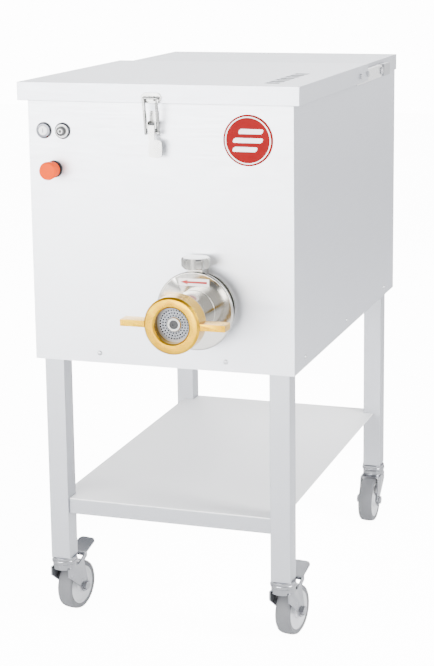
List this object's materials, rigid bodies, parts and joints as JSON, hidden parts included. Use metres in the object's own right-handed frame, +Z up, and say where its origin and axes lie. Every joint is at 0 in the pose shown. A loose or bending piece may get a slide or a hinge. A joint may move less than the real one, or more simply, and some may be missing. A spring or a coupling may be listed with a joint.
{
  "type": "electric meat grinder",
  "caption": "Floor-standing stainless meat mixer grinder with hinged lid, front grinding head with brass ring nut, push buttons, shelf and castors.",
  "frame": {"origin": "on the floor, at the centre of the overall footprint", "axes": "+Z up, +Y to the rear, +X to the right of someone facing the front; the grinding head faces -Y"},
  "size_m": [0.563, 1.025, 1.081],
  "materials": {
    "satin_panel_steel": "satin stainless sheet, fine grain",
    "frame_steel": "square stainless tube, fine grain",
    "polished_steel": "turned and polished stainless",
    "bright_zinc": "bright zinc plated pressing",
    "brass": "turned and polished brass",
    "tool_steel": "ground tool steel",
    "grey_rubber": "soft grey tread",
    "seal_rubber": "white silicone",
    "button_orange": "moulded",
    "button_white": "moulded",
    "button_black": "moulded",
    "dark_plastic": "moulded",
    "grey_plastic": "moulded",
    "badge_red": "screen printed plate",
    "label_white": "printed film",
    "motor_paint": "cast aluminium, painted"
  },
  "bodies": {
    "cabinet": {"arrow_label": "label_white", "badge": "badge_red", "base_frame": "frame_steel", "braces": "frame_steel", "button_bezels": "satin_panel_steel", "cable_gland": "dark_plastic", "castor_stems": "bright_zinc", "contact_blocks": "dark_plastic", "control_box": "grey_plastic", "floor_pan": "satin_panel_steel", "front_panel": "satin_panel_steel", "head_barrel": "polished_steel", "head_socket": "polished_steel", "hinge_brackets": "satin_panel_steel", "hinge_pins": "polished_steel", "inner_frame": "frame_steel", "latch_base": "polished_steel", "left_side_panel": "satin_panel_steel", "legs": "frame_steel", "mixer_gearbox": "motor_paint", "mixer_motor": "motor_paint", "mixing_bowl": "satin_panel_steel", "outlet_plate": "tool_steel", "panel_screws": "polished_steel", "rear_cover": "satin_panel_steel", "rear_panel": "satin_panel_steel", "right_side_panel": "satin_panel_steel", "shaft_bushes": "dark_plastic", "shelf": "satin_panel_steel", "top_deck": "satin_panel_steel", "worm_gearbox": "motor_paint", "worm_motor": "motor_paint"},
    "lid_assembly": {"lid": "satin_panel_steel", "lid_seal": "seal_rubber", "hinge_arms": "satin_panel_steel", "lid_bolts": "polished_steel", "latch_catch": "polished_steel"},
    "latch_lever": {"latch_lever": "polished_steel"},
    "latch_bail": {"latch_bail": "polished_steel"},
    "start_button": {"start_cap": "button_white"},
    "stop_button": {"stop_cap": "button_black"},
    "palm_button": {"palm_button_cap": "button_orange"},
    "clamp_knob": {"clamp_knob": "polished_steel"},
    "ring_nut": {"ring_nut": "brass"},
    "feed_screw": {"feed_worm": "tool_steel", "knife": "tool_steel"},
    "mixing_paddle": {"mixing_paddle": "polished_steel"},
    "worm_rotor": {"worm_rotor": "frame_steel"},
    "mixer_rotor": {"mixer_rotor": "frame_steel"},
    "castor_fork_fl": {"castor_fork_fl": "bright_zinc"},
    "castor_wheel_fl": {"castor_wheel_fl": "grey_rubber"},
    "castor_fork_fr": {"castor_fork_fr": "bright_zinc"},
    "castor_wheel_fr": {"castor_wheel_fr": "grey_rubber"},
    "castor_fork_rl": {"castor_fork_rl": "bright_zinc"},
    "castor_wheel_rl": {"castor_wheel_rl": "grey_rubber"},
    "castor_fork_rr": {"castor_fork_rr": "bright_zinc"},
    "castor_wheel_rr": {"castor_wheel_rr": "grey_rubber"},
    "brake_pedal_fl": {"brake_pedal_fl": "bright_zinc"},
    "brake_pedal_fr": {"brake_pedal_fr": "bright_zinc"}
  },
  "joints": [
    {"name": "lid_hinge", "type": "hinge", "parent": "cabinet", "child": "lid_assembly", "pos_m": [0, 0.2985, 1.056], "axis": [-1, 0, 0], "range_deg": [0, 100]},
    {"name": "latch_lever_pivot", "type": "hinge", "parent": "cabinet", "child": "latch_lever", "pos_m": [-0.006, -0.3545, 1.004], "axis": [-1, 0, 0], "range_deg": [0, 115]},
    {"name": "latch_bail_pivot", "type": "hinge", "parent": "latch_lever", "child": "latch_bail", "pos_m": [-0.006, -0.3555, 0.991], "axis": [-1, 0, 0], "range_deg": [-115, 0]},
    {"name": "start_button_press", "type": "slide", "parent": "cabinet", "child": "start_button", "axis": [0, 1, 0], "range_m": [0, 0.004], "stiffness_N_per_m": 500},
    {"name": "stop_button_press", "type": "slide", "parent": "cabinet", "child": "stop_button", "axis": [0, 1, 0], "range_m": [0, 0.004], "stiffness_N_per_m": 500},
    {"name": "palm_button_press", "type": "slide", "parent": "cabinet", "child": "palm_button", "axis": [0, 1, 0], "range_m": [0, 0.004], "stiffness_N_per_m": 900},
    {"name": "clamp_knob_turn", "type": "hinge", "parent": "cabinet", "child": "clamp_knob", "pos_m": [0.082, -0.3712, 0.76], "axis": [0, 0, 1], "continuous": true},
    {"name": "ring_nut_turn", "type": "hinge", "parent": "cabinet", "child": "ring_nut", "pos_m": [0.082, -0.4915, 0.664], "axis": [0, -1, 0], "continuous": true},
    {"name": "worm_motor_spin", "type": "hinge", "parent": "cabinet", "child": "worm_rotor", "pos_m": [0.082, 0.3585, 0.664], "axis": [0, -1, 0], "continuous": true},
    {"name": "feed_screw_spin", "type": "hinge", "parent": "cabinet", "child": "feed_screw", "pos_m": [0.082, -0.0415, 0.664], "axis": [0, -1, 0], "continuous": true},
    {"name": "mixer_motor_spin", "type": "hinge", "parent": "cabinet", "child": "mixer_rotor", "pos_m": [-0.01, 0.3585, 0.85], "axis": [0, -1, 0], "continuous": true},
    {"name": "mixing_paddle_spin", "type": "hinge", "parent": "cabinet", "child": "mixing_paddle", "pos_m": [-0.01, -0.0415, 0.85], "axis": [0, -1, 0], "continuous": true},
    {"name": "castor_swivel_fl", "type": "hinge", "parent": "cabinet", "child": "castor_fork_fl", "pos_m": [-0.2295, -0.3095, 0.115], "axis": [0, 0, 1], "continuous": true},
    {"name": "wheel_roll_fl", "type": "hinge", "parent": "castor_fork_fl", "child": "castor_wheel_fl", "pos_m": [-0.22324, -0.26999, 0.05], "axis": [-0.9877, 0.1564, 0], "continuous": true},
    {"name": "brake_pedal_fl", "type": "hinge", "parent": "castor_fork_fl", "child": "brake_pedal_fl", "pos_m": [-0.2223, -0.26407, 0.114], "axis": [-0.9877, 0.1564, 0], "range_deg": [0, 20]},
    {"name": "castor_swivel_fr", "type": "hinge", "parent": "cabinet", "child": "castor_fork_fr", "pos_m": [0.2295, -0.3095, 0.115], "axis": [0, 0, 1], "continuous": true},
    {"name": "wheel_roll_fr", "type": "hinge", "parent": "castor_fork_fr", "child": "castor_wheel_fr", "pos_m": [0.23576, -0.26999, 0.05], "axis": [-0.9877, 0.1564, 0], "continuous": true},
    {"name": "brake_pedal_fr", "type": "hinge", "parent": "castor_fork_fr", "child": "brake_pedal_fr", "pos_m": [0.2367, -0.26407, 0.114], "axis": [-0.9877, 0.1564, 0], "range_deg": [0, 20]},
    {"name": "castor_swivel_rl", "type": "hinge", "parent": "cabinet", "child": "castor_fork_rl", "pos_m": [-0.2295, 0.4455, 0.115], "axis": [0, 0, 1], "continuous": true},
    {"name": "wheel_roll_rl", "type": "hinge", "parent": "castor_fork_rl", "child": "castor_wheel_rl", "pos_m": [-0.2295, 0.4055, 0.05], "axis": [1, 0, 0], "continuous": true},
    {"name": "castor_swivel_rr", "type": "hinge", "parent": "cabinet", "child": "castor_fork_rr", "pos_m": [0.2295, 0.4455, 0.115], "axis": [0, 0, 1], "continuous": true},
    {"name": "wheel_roll_rr", "type": "hinge", "parent": "castor_fork_rr", "child": "castor_wheel_rr", "pos_m": [0.2295, 0.4055, 0.05], "axis": [1, 0, 0], "continuous": true}
  ],
  "couplings": [
    {"joint": "latch_bail_pivot", "follows": "latch_lever_pivot", "ratio": -1},
    {"joint": "feed_screw_spin", "follows": "worm_motor_spin", "ratio": 0.125},
    {"joint": "mixing_paddle_spin", "follows": "mixer_motor_spin", "ratio": 0.025}
  ]
}
